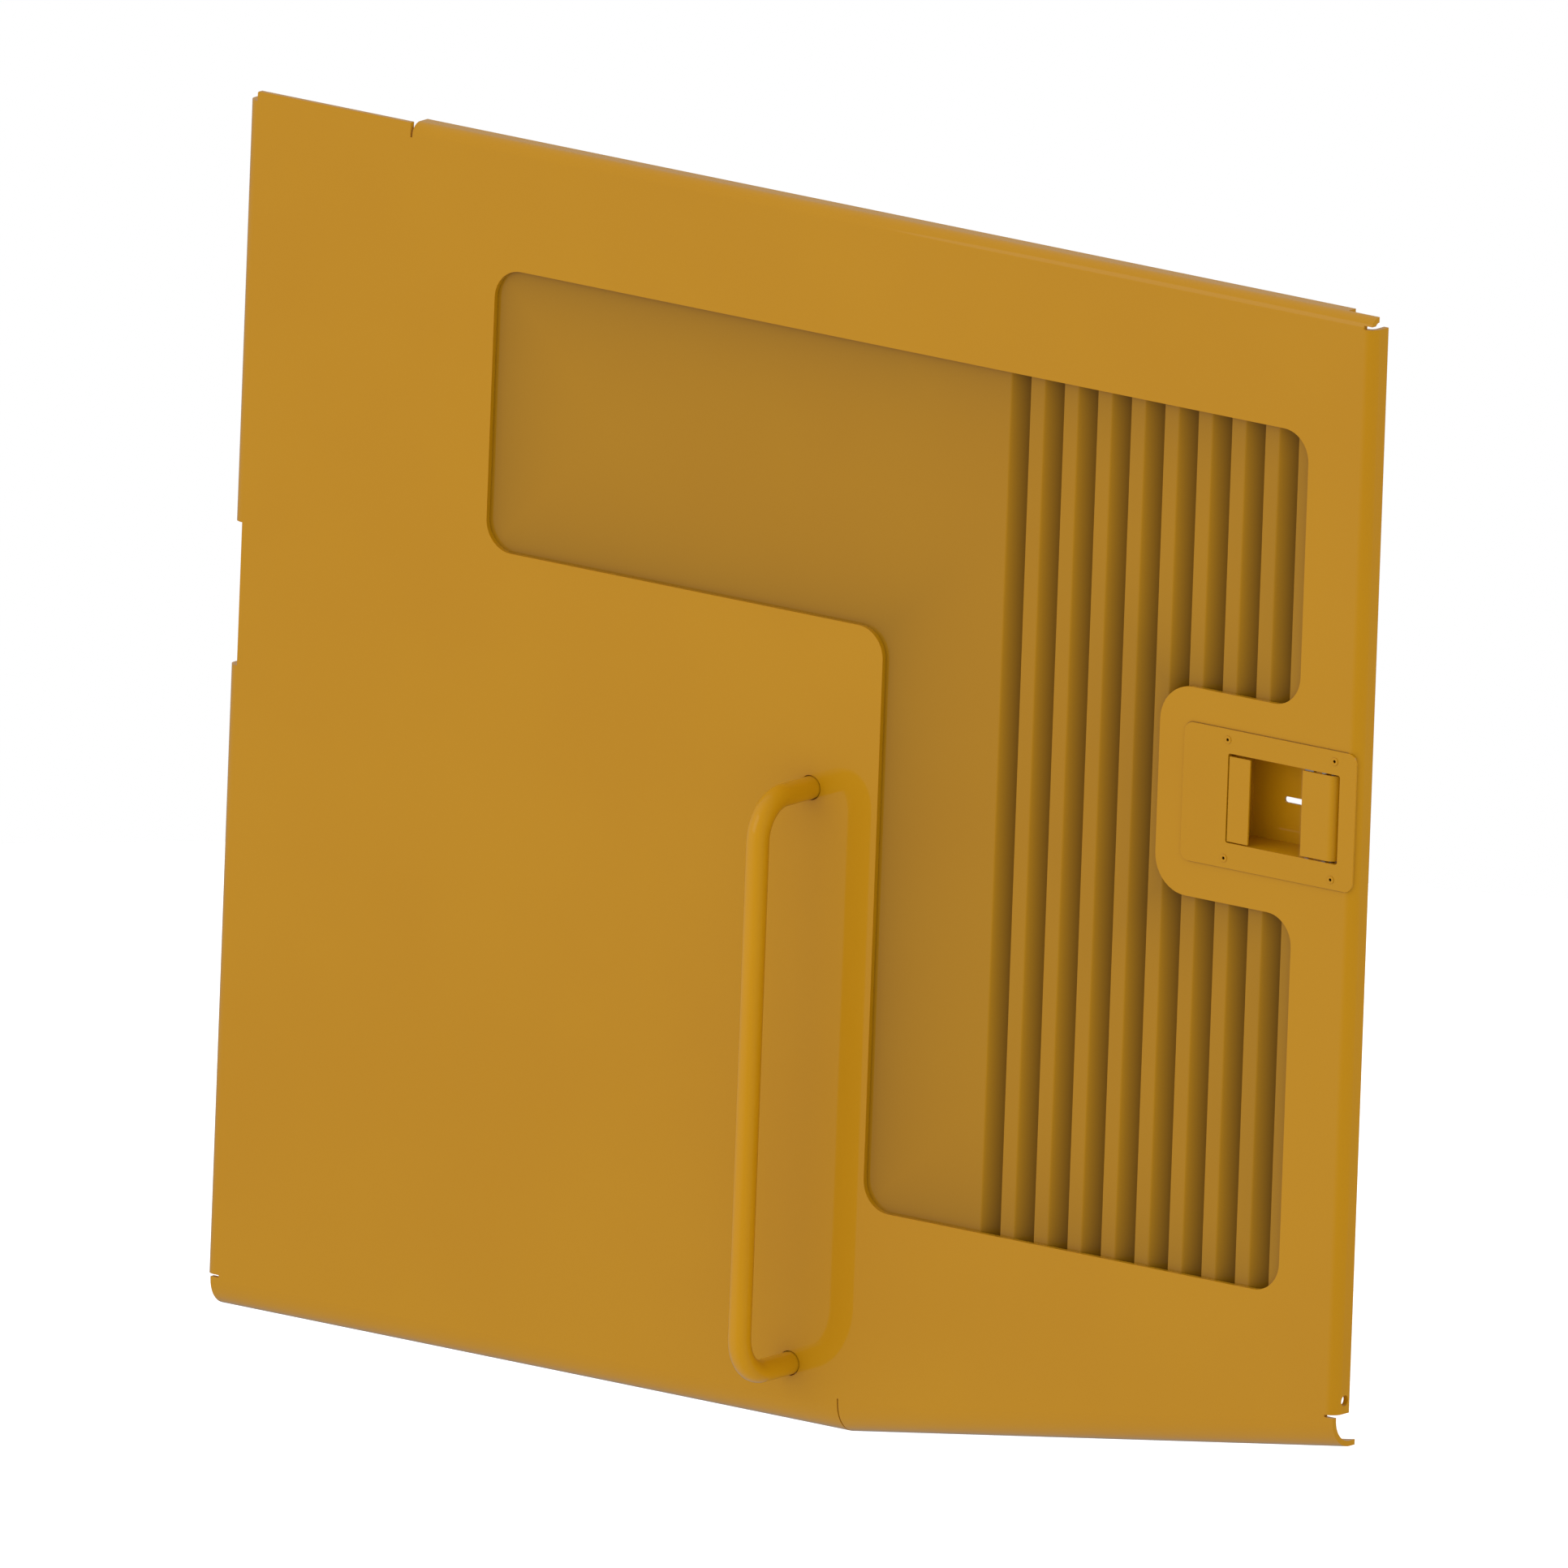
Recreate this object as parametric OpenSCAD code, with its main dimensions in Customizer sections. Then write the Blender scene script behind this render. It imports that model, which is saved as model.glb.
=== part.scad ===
// Louvred sheet-steel access door of a machine enclosure, hung on two hinges,
// with a grab handle and a flush paddle latch. Millimetres, +Z up, +Y into the machine.
// Shapes are drawn in door coordinates: X from the hinge-side outer face, Y from the
// front face of the skin, Z from the lowest point. Each node is then moved so that the
// origin is the centre of the lower frame leaf's bolt pattern, on its bolted face.

/* [Door] */
// Width over the side flanges
door_w = 1120; // [1100:5:1140]
// Height over the top and bottom flanges
door_h = 1002; // [990:2:1020]
// Thickness of the skin
skin_t = 4.5; // [3:0.5:5]
// Outer radius of the side and top bends
bend_r = 10; // [8:1:12]
// Depth of the side and top flanges
flange_d = 20; // [16:1:22]
// Outer radius of the bottom bend
sill_r = 24; // [18:1:26]
// Depth of the bottom flange
sill_d = 31; // [28:1:34]
// Slope of the raised half of the bottom edge, degrees
sill_slope = 8.157; // [6:0.001:9]

/* [Window] */
// Left end of the upper branch
win_x0 = 251; // [230:1:270]
// Left side of the lower branch
win_x1 = 647; // [620:1:660]
// Right side
win_x2 = 1060; // [1050:1:1066]
// Bottom edge
win_z0 = 189; // [180:1:200]
// Lower edge of the upper branch
win_z1 = 666; // [650:1:680]
// Top edge
win_z2 = 898; // [890:1:905]
// Corner radius
win_r = 25; // [15:1:30]

/* [Louvres] */
// Number of louvres
louver_n = 9; // [9:1:9]
// Left edge of the first louvre
louver_x = 759.8; // [755:0.2:765]
// Pitch
louver_pitch = 33.3; // [33:0.1:33.6]
// Width of each slot
louver_slot = 20.9; // [18:0.1:22]
// Angle of each blade, degrees
louver_angle = 34.13; // [30:0.01:38]
// Thickness of the louvred sheet
panel_t = 2; // [1.5:0.5:2]

/* [Grab handle] */
// Diameter of the round bar
bar_d = 19; // [16:1:20]
// Distance between the feet
handle_span = 474; // [420:1:480]
// Distance from the skin to the bar's centreline
handle_reach = 69; // [60:1:75]
// Centreline radius of the bends
handle_bend = 33; // [28:1:36]
// Distance of the handle from the hinge side
handle_x = 580; // [570:1:590]
// Height of the lower foot
handle_z = 51; // [48:1:56]

/* [Latch] */
// Width of the bezel
bezel_w = 171; // [168:1:171]
// Height of the bezel
bezel_h = 114; // [110:1:118]
// How far the bezel stands proud of the skin
bezel_t = 1.5; // [1:0.5:2]
// Depth of the finger recess behind the skin
pan_depth = 34.5; // [30:0.5:36]

/* [Hinges] */
// Height of the lower hinge's centre
hinge_z_low = 170; // [150:5:200]
// Height of the upper hinge's centre
hinge_z_high = 850; // [820:5:870]
// Height of each hinge
hinge_h = 80; // [80:1:90]

/* [Hidden] */
$fn = 48;

paint = "#BB8925";
zinc = "#B9BABB";
black = "#222222";
eps = 0.01;

// top edge without a flange, and the slots that free the bends at the corners
plain_x = 162;
slot_w = 2;
top_full_x = 1087;
top_stub_x = 1118;
side_z0 = 98.3;
left_z0 = 27.5;
left_z1 = 994;
notch_z0 = 529;
notch_z1 = 647;
sill_x0 = 6;
sill_kink = 629.5;
sill_x1 = 1118.8;
slit_w = 1.2;
sill_lap = 0.6;
sill_over = 8;
tie_hole_d = 9;
tie_hole_y = 13.5;
tie_hole_z = 109;

// latch tongue of the skin and the latch on it
tongue_x = 923;
tongue_z0 = 499.5;
tongue_z1 = 671.3;
tongue_r = 31;
bezel_x = 1034;
bezel_z = 586;
bezel_r = 8.5;
pan_x0 = 992.6;
pan_x1 = 1103.6;
pan_z0 = 550;
pan_z1 = 623.4;
pan_t = 2;
pan_back = pan_depth + pan_t;
pan_slot_x0 = 1024;
pan_slot_x1 = 1101;
pan_slot_h = 5;
lever_z = 585;
lever_t = 3;
rivet_x = [991.7, 1097.9];
rivet_z = [537, 634.4];
rivet_d = 4;

// paddle, with its pivot at the centre of its rolled edge
paddle_x0 = 1066.8;
paddle_z0 = 551.6;
paddle_z1 = 621.8;
paddle_r = 8;
paddle_t = 2;
pivot_x = 1092.5;
pivot_y = paddle_r - bezel_t;
paddle_pin_d = 5;
run_gap = 0.05;

// hook and its brackets
hook_x = 1062;
hook_y = 72;
hook_t = 6;
hook_pin_d = 8;
bracket_t = 3;
bracket_z0 = 576;
bracket_z1 = 601;
bracket_y1 = 82;
bracket_screw_x = [1049, 1066];
bracket_screw_off = 13;
screw_d = 5;

// hinges
axis_x = 14;
axis_y = 34;
knuckle_r = 9;
hinge_pin_d = 10;
leaf_t = 5;
knuckle_mid = 34;
knuckle_gap = 2.6;
washer_t = 2;
leaf_bolt_x = [48, 72];
leaf_bolt_off = 25;
leaf_bolt_d = 8;
frame_y0 = 48;
frame_y1 = 130;
frame_hole_d = 11;
frame_hole_y = [70, 110];
origin_x = axis_x - leaf_t / 2;
origin_y = 90;

// stiffening channels
hat_t = 2.5;
hat_depth = 25.5;
crest_y = skin_t + hat_depth;
handle_crest_y = skin_t + 20;

// moves door coordinates so that the mount is the origin
module in_frame() {
    translate([-origin_x, -origin_y, -hinge_z_low]) children();
}

// a flat sheet drawn in X and Z, from depth y to y + t
module sheet(y, t) {
    translate([0, y + t, 0]) rotate([90, 0, 0]) linear_extrude(t) children();
}

module box2(x0, z0, x1, z1) {
    translate([x0, z0]) square([x1 - x0, z1 - z0]);
}

module round_box2(x0, z0, x1, z1, r) {
    box2(x0 + r, z0, x1 - r, z1);
    box2(x0, z0 + r, x1, z1 - r);
    for (x = [x0 + r, x1 - r]) {
        for (z = [z0 + r, z1 - r]) {
            translate([x, z]) circle(r);
        }
    }
}

// the area left between a square corner at the origin and a circle inside it
module corner_web(r) {
    difference() {
        square([r, r]);
        translate([r, r]) circle(r);
    }
}

// section of a folded edge: u outwards from the bend line, v into the machine
module fold_section(r, d, t) {
    intersection() {
        translate([0, r]) difference() {
            circle(r);
            circle(r - t);
        }
        square([r, r]);
    }
    if (d > r) {
        translate([r - t, r]) square([t, d - r]);
    }
}

// a fold running up a side: outwards is +X
module side_fold(z0, z1, r, d, t) {
    translate([0, 0, z0]) linear_extrude(z1 - z0) fold_section(r, d, t);
}

// a fold running across: outwards is +Z
module cross_fold(x0, x1, r, d, t) {
    translate([x1, 0, 0]) rotate([0, -90, 0]) linear_extrude(x1 - x0) fold_section(r, d, t);
}

module hex_prism(flats, h) {
    cylinder(h = h, d = flats / cos(30), $fn = 6);
}

// a cylinder along Y, from y0 to y1
module rod_y(x, z, d, y0, y1) {
    translate([x, y0, z]) rotate([-90, 0, 0]) cylinder(h = y1 - y0, d = d);
}

// ---------- skin and panel ----------

module window_outline() {
    difference() {
        union() {
            round_box2(win_x0, win_z1, win_x2, win_z2, win_r);
            round_box2(win_x1, win_z0, win_x2, win_z2, win_r);
            translate([win_x1, win_z1]) rotate(180) corner_web(win_r);
        }
        round_box2(tongue_x, tongue_z0, win_x2 + 2 * tongue_r, tongue_z1, tongue_r);
        translate([win_x2, tongue_z1]) mirror([1, 0]) corner_web(win_r);
        translate([win_x2, tongue_z0]) rotate(180) corner_web(win_r);
    }
}

module skin_flat() {
    flat_right = door_w - bend_r;
    sill_rise = tan(sill_slope);
    sill_end = sill_x1 + sill_over;
    difference() {
        polygon([
            [sill_x0, sill_r],
            [sill_kink, sill_r + sill_lap],
            [sill_end, sill_r + sill_lap + (sill_end - sill_kink) * sill_rise],
            [sill_end, side_z0 - slot_w],
            [flat_right, side_z0 - slot_w],
            [flat_right, door_h - bend_r],
            [plain_x + slot_w, door_h - bend_r],
            [plain_x + slot_w, door_h - bend_r - slot_w],
            [plain_x, door_h - bend_r - slot_w],
            [plain_x, door_h],
            [bend_r + 1, door_h],
            [bend_r, door_h - 1],
            [bend_r, left_z0],
            [bend_r + slot_w * 2, left_z0],
            [bend_r + slot_w * 2, left_z0 - slot_w],
            [sill_x0, left_z0 - slot_w]
        ]);
        window_outline();
        for (z = [handle_z, handle_z + handle_span]) {
            translate([handle_x, z]) circle(d = bar_d + 1.3);
        }
        box2(pan_x0 - pan_t - 0.3, pan_z0 - pan_t - 0.3, pan_x1 + pan_t + 0.3, pan_z1 + pan_t + 0.3);
        for (x = rivet_x, z = rivet_z) {
            translate([x, z]) circle(d = rivet_d);
        }
    }
}

// places things at the kink of the bottom edge, turned to its mitre plane
module sill_mitre() {
    translate([sill_kink, 0, sill_r]) rotate([0, -sill_slope / 2, 0]) children();
}

// section of the bottom fold with the strip of flat sheet that it runs out of
module sill_section() {
    fold_section(sill_r, sill_d, skin_t);
    translate([-2 * sill_lap, 0]) square([3 * sill_lap, skin_t]);
}

// one half of the bottom fold, drawn along X from its bend line
module sill_half(x0, x1) {
    mirror([0, 0, 1]) translate([x1, 0, 0]) rotate([0, -90, 0])
        linear_extrude(x1 - x0) sill_section();
}

// a block that takes away all on one side of the mitre plane
module past_mitre(x) {
    translate([x, -1, -2 * sill_r]) cube([5 * sill_over, 2 * sill_d, 4 * sill_r]);
}

module sill_left() {
    difference() {
        translate([0, 0, sill_r]) sill_half(sill_x0, sill_kink + 3);
        sill_mitre() past_mitre(-slit_w / 4);
    }
}

module sill_right() {
    difference() {
        translate([sill_kink, 0, sill_r]) rotate([0, -sill_slope, 0])
            sill_half(-3, (sill_x1 - sill_kink) / cos(sill_slope) + sill_over);
        sill_mitre() past_mitre(slit_w / 4 - 5 * sill_over);
    }
}

module door_skin() {
    top_z = door_h - bend_r;
    color(paint) in_frame() difference() {
        union() {
            sheet(0, skin_t) skin_flat();
            translate([door_w - bend_r, 0, 0]) side_fold(side_z0, top_z, bend_r, flange_d, skin_t);
            translate([bend_r, 0, 0]) mirror([1, 0, 0]) {
                side_fold(left_z0, notch_z0, bend_r, flange_d, skin_t);
                side_fold(notch_z1, left_z1, bend_r, flange_d, skin_t);
            }
            translate([0, 0, top_z]) {
                cross_fold(plain_x + slot_w, top_full_x, bend_r, flange_d, skin_t);
                cross_fold(top_full_x, top_stub_x, bend_r, bend_r, skin_t);
            }
            sill_left();
            sill_right();
        }
        // the slit where the two halves of the bottom fold meet runs up into the flat
        sill_mitre() translate([-slit_w / 2, -1, -2 * sill_r]) cube([slit_w, 2 * sill_d, 2 * sill_r + 6]);
        // upright end of the bottom fold, below the right-hand fold
        translate([sill_x1, -1, 0]) cube([2 * sill_over, 2 * sill_d, side_z0 - slot_w / 2]);
        // slot between the top fold and the right-hand fold
        translate([door_w - bend_r, -1, top_z]) cube([2 * bend_r, 2 * bend_r, slot_w + 1]);
        // hole for the tie bolt at the foot of the right-hand flange
        translate([door_w - 2 * bend_r, tie_hole_y, tie_hole_z]) rotate([0, 90, 0])
            cylinder(h = 3 * bend_r, d = tie_hole_d);
    }
}

louver_z0 = win_z0 - 11;
louver_z1 = win_z2 + 11;
panel_lap = 18;
cut_z0 = rivet_z[0] - 6;
cut_z1 = rivet_z[1] + 6;
louver_r = 3.5;
louver_reach = 24;
blade_len = (louver_reach - louver_r * sin(louver_angle)) / cos(louver_angle);

// the height ranges of one louvre: whole, or parted where the latch pan passes
function louver_runs(i) = louver_x + i * louver_pitch + louver_reach < pan_x0 - pan_t - 4
    ? [[louver_z0, louver_z1]]
    : [[louver_z0, cut_z0 - 12], [cut_z1 + 12, louver_z1]];

// section of one blade: X across, Y into the machine, from the sheet's front face
module blade_section() {
    intersection() {
        translate([0, louver_r]) rotate(louver_angle) difference() {
            circle(louver_r);
            circle(louver_r - panel_t);
            translate([0, -2 * louver_r]) square(4 * louver_r);
        }
        translate([0, -1]) square([2 * louver_r, louver_r + 1]);
    }
    translate([0, louver_r]) rotate(louver_angle) translate([0, -louver_r]) square([blade_len, panel_t]);
}

// the cheek that closes a louvre's end; its sloping edge lies in the middle of the blade
module cheek_section() {
    x0 = louver_r * sin(louver_angle) - panel_t / 2 * sin(louver_angle);
    y0 = louver_r * (1 - cos(louver_angle)) + panel_t / 2 * cos(louver_angle);
    x1 = louver_reach - 1;
    front = 0.4;
    polygon([[x0 - 1, front], [x1, front], [x1, y0 + (x1 - x0) * tan(louver_angle)], [x0, y0]]);
}

module louver(x, z0, z1) {
    translate([x, skin_t, z0]) {
        linear_extrude(z1 - z0) blade_section();
        linear_extrude(panel_t) cheek_section();
        translate([0, 0, z1 - z0 - panel_t]) linear_extrude(panel_t) cheek_section();
    }
}

module louver_panel() {
    color("#A97B26") in_frame() {
        sheet(skin_t, panel_t) difference() {
            union() {
                box2(win_x0 - panel_lap, win_z1 - panel_lap, win_x2 + panel_lap, win_z2 + panel_lap);
                box2(win_x1 - panel_lap, win_z0 - panel_lap, win_x2 + panel_lap, win_z2 + panel_lap);
            }
            box2(pan_x0 - pan_t - 6, cut_z0, win_x2 + 2 * panel_lap, cut_z1);
            for (i = [0 : louver_n - 1]) {
                for (run = louver_runs(i)) {
                    box2(louver_x + i * louver_pitch, run[0],
                        louver_x + i * louver_pitch + louver_slot, run[1]);
                }
            }
        }
        for (i = [0 : louver_n - 1]) {
            for (run = louver_runs(i)) {
                louver(louver_x + i * louver_pitch, run[0], run[1]);
            }
        }
    }
}

// section of a hat channel on the back of the skin, centred on x = 0
module hat_section(crest_w, foot_w, depth) {
    rise = 6;
    half = crest_w / 2;
    difference() {
        polygon([[-half - rise, 0], [half + rise, 0], [half, depth], [-half, depth]]);
        polygon([[-half - rise + hat_t, -1], [half + rise - hat_t, -1],
            [half - hat_t, depth - hat_t], [-half + hat_t, depth - hat_t]]);
    }
    for (s = [-1, 1]) {
        translate([s * (half + rise + foot_w / 2 - 1), hat_t / 2])
            square([foot_w, hat_t], center = true);
    }
}

module hinge_stiffener() {
    hat_x = (leaf_bolt_x[0] + leaf_bolt_x[1]) / 2;
    color(paint) in_frame() difference() {
        translate([hat_x, skin_t, 50]) linear_extrude(door_h - 100) hat_section(52, 16, hat_depth);
        for (h = [hinge_z_low, hinge_z_high], x = leaf_bolt_x, s = [-1, 1]) {
            rod_y(x, h + s * leaf_bolt_off, leaf_bolt_d + 0.4, crest_y - 2 * hat_t, crest_y + 1);
        }
    }
}

stud_d = 16;

module handle_stiffener() {
    color(paint) in_frame() difference() {
        translate([handle_x, skin_t, handle_z - 18])
            linear_extrude(handle_span + 36) hat_section(40, 14, handle_crest_y - skin_t);
        for (z = [handle_z, handle_z + handle_span]) {
            rod_y(handle_x, z, stud_d + 1, handle_crest_y - 2 * hat_t, handle_crest_y + 1);
        }
    }
}

module door_bumpers() {
    bumper_x = door_w - 28;
    color(black) in_frame() for (z = [130, 440, 730, 960]) {
        translate([bumper_x, skin_t, z]) rotate([-90, 0, 0]) {
            cylinder(h = 3, r = 11);
            cylinder(h = 22, r1 = 9, r2 = 7);
        }
    }
}

// ---------- grab handle ----------

module grab_handle() {
    foot_y = handle_crest_y - hat_t;
    leg = handle_reach - handle_bend + foot_y;
    color(paint) in_frame() translate([handle_x, 0, handle_z]) {
        for (z = [0, handle_span]) {
            rod_y(0, z, bar_d, foot_y - leg, foot_y);
            rod_y(0, z, stud_d, foot_y - eps, foot_y + hat_t + 22);
        }
        translate([0, -handle_reach, handle_bend]) cylinder(h = handle_span - 2 * handle_bend, d = bar_d);
        for (s = [0, 1]) {
            translate([0, handle_bend - handle_reach, s ? handle_span - handle_bend : handle_bend])
                rotate([0, 90, 0]) rotate([0, 0, s ? 180 : 270])
                    rotate_extrude(angle = 90) translate([handle_bend, 0]) circle(d = bar_d);
        }
    }
}

module handle_washers() {
    color(zinc) in_frame() for (z = [handle_z, handle_z + handle_span]) {
        difference() {
            rod_y(handle_x, z, 30, handle_crest_y, handle_crest_y + 3);
            rod_y(handle_x, z, stud_d + 1, handle_crest_y - 1, handle_crest_y + 4);
        }
    }
}

module handle_nuts() {
    nut_h = 13;
    color(zinc) in_frame() for (z = [handle_z, handle_z + handle_span]) {
        difference() {
            translate([handle_x, handle_crest_y + 3, z]) rotate([-90, 0, 0]) hex_prism(24, nut_h);
            rod_y(handle_x, z, stud_d, handle_crest_y + 2, handle_crest_y + 4 + nut_h);
        }
    }
}

// ---------- latch ----------

module latch_bezel() {
    color(paint) in_frame() sheet(-bezel_t, bezel_t) difference() {
        round_box2(bezel_x - bezel_w / 2, bezel_z - bezel_h / 2,
            bezel_x + bezel_w / 2, bezel_z + bezel_h / 2, bezel_r);
        round_box2(pan_x0, pan_z0, pan_x1, pan_z1, 2);
        for (x = rivet_x, z = rivet_z) {
            translate([x, z]) circle(d = rivet_d);
        }
    }
}

module latch_rivets() {
    head = 0.5;
    color(paint) in_frame() for (x = rivet_x, z = rivet_z) {
        difference() {
            union() {
                rod_y(x, z, 6.4, -bezel_t - head, -bezel_t);
                rod_y(x, z, rivet_d, -bezel_t - eps, skin_t + eps);
                rod_y(x, z, 7, skin_t, skin_t + 2.5);
            }
            rod_y(x, z, 2.6, -bezel_t - 1, skin_t + 1);
        }
    }
}

module latch_pan() {
    color(paint) in_frame() difference() {
        sheet(0, pan_back) box2(pan_x0 - pan_t, pan_z0 - pan_t, pan_x1 + pan_t, pan_z1 + pan_t);
        sheet(-1, pan_depth + 1) box2(pan_x0, pan_z0, pan_x1, pan_z1);
        sheet(pan_depth - 1, pan_t + 2) round_box2(pan_slot_x0, lever_z - pan_slot_h / 2,
            pan_slot_x1, lever_z + pan_slot_h / 2, pan_slot_h / 2 - eps);
        translate([pivot_x, pivot_y, pan_z0 - 2 * pan_t])
            cylinder(h = pan_z1 - pan_z0 + 4 * pan_t, d = paddle_pin_d);
        for (x = bracket_screw_x, z = [bracket_z0 - bracket_screw_off, bracket_z1 + bracket_screw_off]) {
            rod_y(x, z, screw_d, pan_depth - 1, pan_back + 1);
        }
    }
}

// the fixed lip on the left of the finger recess
module latch_cover() {
    lip_x0 = pan_x0 + 0.9;
    color(paint) in_frame() {
        sheet(-1, pan_t) box2(lip_x0, pan_z0 + 0.9, 1014.3, pan_z1 - 2.4);
        sheet(1 - eps, 20) box2(lip_x0, pan_z0 + 0.9, lip_x0 + 1.6, pan_z1 - 2.4);
    }
}

module ear_section() {
    difference() {
        translate([-9, -6]) square([12, 12]);
        circle(d = paddle_pin_d + 2 * run_gap);
    }
}

module latch_paddle() {
    height = paddle_z1 - paddle_z0;
    color(paint) in_frame() translate([pivot_x, pivot_y, paddle_z0]) {
        translate([paddle_x0 - pivot_x, -paddle_r, 0]) cube([pivot_x - paddle_x0 + eps, paddle_t, height]);
        linear_extrude(height) {
            intersection() {
                difference() {
                    circle(paddle_r);
                    circle(paddle_r - paddle_t);
                }
                translate([0, -paddle_r]) square([paddle_r, paddle_r]);
            }
            translate([paddle_r - paddle_t, -eps]) square([paddle_t, 7]);
        }
        for (z = [1.4, height - 3.4]) {
            translate([0, 0, z]) linear_extrude(2) {
                ear_section();
                translate([3, -2]) square([paddle_r - paddle_t - 3 + eps, 4]);
            }
        }
    }
}

// the tongue on the back of the paddle, which reaches through the pan
module paddle_lever() {
    color(zinc) in_frame() translate([pivot_x, pivot_y, lever_z - lever_t / 2]) difference() {
        linear_extrude(lever_t) polygon([[-9, -paddle_r + paddle_t], [0, -paddle_r + paddle_t],
            [4, -4], [paddle_r - paddle_t, 0], [paddle_r - paddle_t, 6],
            [4, 14], [3, 43], [-4.5, 43], [-4.5, 12]]);
        translate([0, 0, -1]) cylinder(h = 6, d = paddle_pin_d + 2 * run_gap);
    }
}

// a plain pin, staked flush with the outside of the pan
module paddle_pin() {
    color(zinc) in_frame() translate([pivot_x, pivot_y, pan_z0 - pan_t])
        cylinder(h = pan_z1 - pan_z0 + 2 * pan_t, d = paddle_pin_d);
}

// a closed coil: rings of wire along a helix, joined side by side
module coil(r, wire, turns, pitch) {
    sides = 8;
    per_turn = 20;
    n = turns * per_turn;
    points = [for (i = [0 : n]) for (j = [0 : sides - 1])
        let (a = 360 * i / per_turn, b = 360 * j / sides, rr = r + wire / 2 * cos(b))
        [rr * cos(a), rr * sin(a), pitch * i / per_turn + wire / 2 * sin(b)]];
    walls = [for (i = [0 : n - 1]) for (j = [0 : sides - 1])
        let (k = (j + 1) % sides)
        [i * sides + j, i * sides + k, (i + 1) * sides + k, (i + 1) * sides + j]];
    ends = [[for (j = [0 : sides - 1]) sides - 1 - j], [for (j = [0 : sides - 1]) n * sides + j]];
    polyhedron(points = points, faces = concat(walls, ends), convexity = 10);
}

module paddle_spring() {
    color(zinc) in_frame() translate([pivot_x, pivot_y, lever_z + 8]) coil(4.2, 1.2, 6, 1.9);
}

module bracket_plate() {
    x0 = 1036;
    x1 = 1074;
    mouth_x = 1050;
    difference() {
        translate([x0, pan_back]) square([x1 - x0, bracket_y1 - pan_back]);
        translate([mouth_x - 6, 77]) square([12, 20]);
        translate([mouth_x, 77]) circle(6);
        translate([hook_x, hook_y]) circle(d = hook_pin_d);
    }
}

// an angle: a level plate that carries the hook's pin and a foot on the pan
module bracket(level_z, foot_z) {
    foot_z0 = min(level_z, foot_z);
    difference() {
        union() {
            translate([0, 0, level_z]) linear_extrude(bracket_t) bracket_plate();
            sheet(pan_back, bracket_t) box2(1036, foot_z0, 1074, max(level_z + bracket_t, foot_z));
        }
        for (x = bracket_screw_x) {
            rod_y(x, foot_z > level_z ? bracket_z1 + bracket_screw_off : bracket_z0 - bracket_screw_off,
                screw_d, pan_back - 1, pan_back + bracket_t + 1);
        }
    }
}

module latch_bracket_upper() {
    color(zinc) in_frame() bracket(bracket_z1 - bracket_t, pan_z1);
}

module latch_bracket_lower() {
    color(zinc) in_frame() bracket(bracket_z0, pan_z0 + 1);
}

module bracket_screws() {
    color(zinc) in_frame()
    for (x = bracket_screw_x, z = [bracket_z0 - bracket_screw_off, bracket_z1 + bracket_screw_off]) {
        rod_y(x, z, 9, pan_depth - 2.4, pan_depth);
        rod_y(x, z, screw_d, pan_depth - eps, pan_back + bracket_t + 6);
    }
}

module bracket_nuts() {
    color(zinc) in_frame()
    for (x = bracket_screw_x, z = [bracket_z0 - bracket_screw_off, bracket_z1 + bracket_screw_off]) {
        difference() {
            translate([x, pan_back + bracket_t, z]) rotate([-90, 0, 0]) hex_prism(8, 4);
            rod_y(x, z, screw_d, pan_back, pan_back + bracket_t + 5);
        }
    }
}

// the hook: X and Y from its pivot; the nose closes behind the striker
module hook_outline() {
    tail = [22, -24];
    difference() {
        union() {
            circle(10);
            translate(tail) circle(3);
            rotate(atan2(tail[1], tail[0])) translate([0, -3]) square([norm(tail), 6]);
            polygon([[-6, 0], [7, 0], [2, 22], [-4, 22], [-19, 17.5], [-19, 15.5], [-6, 15.5]]);
        }
        circle(d = hook_pin_d + 2 * run_gap);
    }
}

module latch_hook() {
    color(zinc) in_frame() translate([hook_x, hook_y, lever_z - hook_t / 2])
        linear_extrude(hook_t) hook_outline();
}

module hook_pin() {
    color(zinc) in_frame() translate([hook_x, hook_y, 0]) {
        translate([0, 0, bracket_z0 - 3]) cylinder(h = bracket_z1 - bracket_z0 + 6, d = hook_pin_d);
        translate([0, 0, bracket_z1]) cylinder(h = 3, d = 13);
        translate([0, 0, bracket_z0 - 2]) cylinder(h = 2, d = 11);
        translate([0, 0, bracket_z0 + bracket_t])
            cylinder(h = lever_z - hook_t / 2 - bracket_z0 - bracket_t - 0.3, d = 13);
    }
}

module hook_spring() {
    color(zinc) in_frame() translate([hook_x, hook_y, lever_z + hook_t / 2 + 1.4]) coil(6.2, 1.4, 4, 1.9);
}

// ---------- hinges ----------

module leaf_holes(h) {
    for (x = leaf_bolt_x, s = [-1, 1]) {
        rod_y(x, h + s * leaf_bolt_off, leaf_bolt_d + 0.4, crest_y - 1, crest_y + leaf_t + 1);
    }
}

module door_leaf(h) {
    outer_h = (hinge_h - knuckle_mid) / 2 - knuckle_gap;
    difference() {
        union() {
            sheet(crest_y, leaf_t)
                round_box2(axis_x + knuckle_r + 1.5, h - hinge_h / 2, 88, h + hinge_h / 2, 4);
            for (z = [h - hinge_h / 2, h + hinge_h / 2 - outer_h]) {
                translate([axis_x, axis_y, z]) cylinder(h = outer_h, r = knuckle_r);
                translate([axis_x, crest_y, z]) cube([knuckle_r + 8, leaf_t, outer_h]);
            }
        }
        translate([axis_x, axis_y, h - hinge_h / 2 - 1])
            cylinder(h = hinge_h + 2, d = hinge_pin_d + 2 * run_gap);
        leaf_holes(h);
    }
}

module upper_door_leaf() {
    color(paint) in_frame() door_leaf(hinge_z_high);
}

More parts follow.
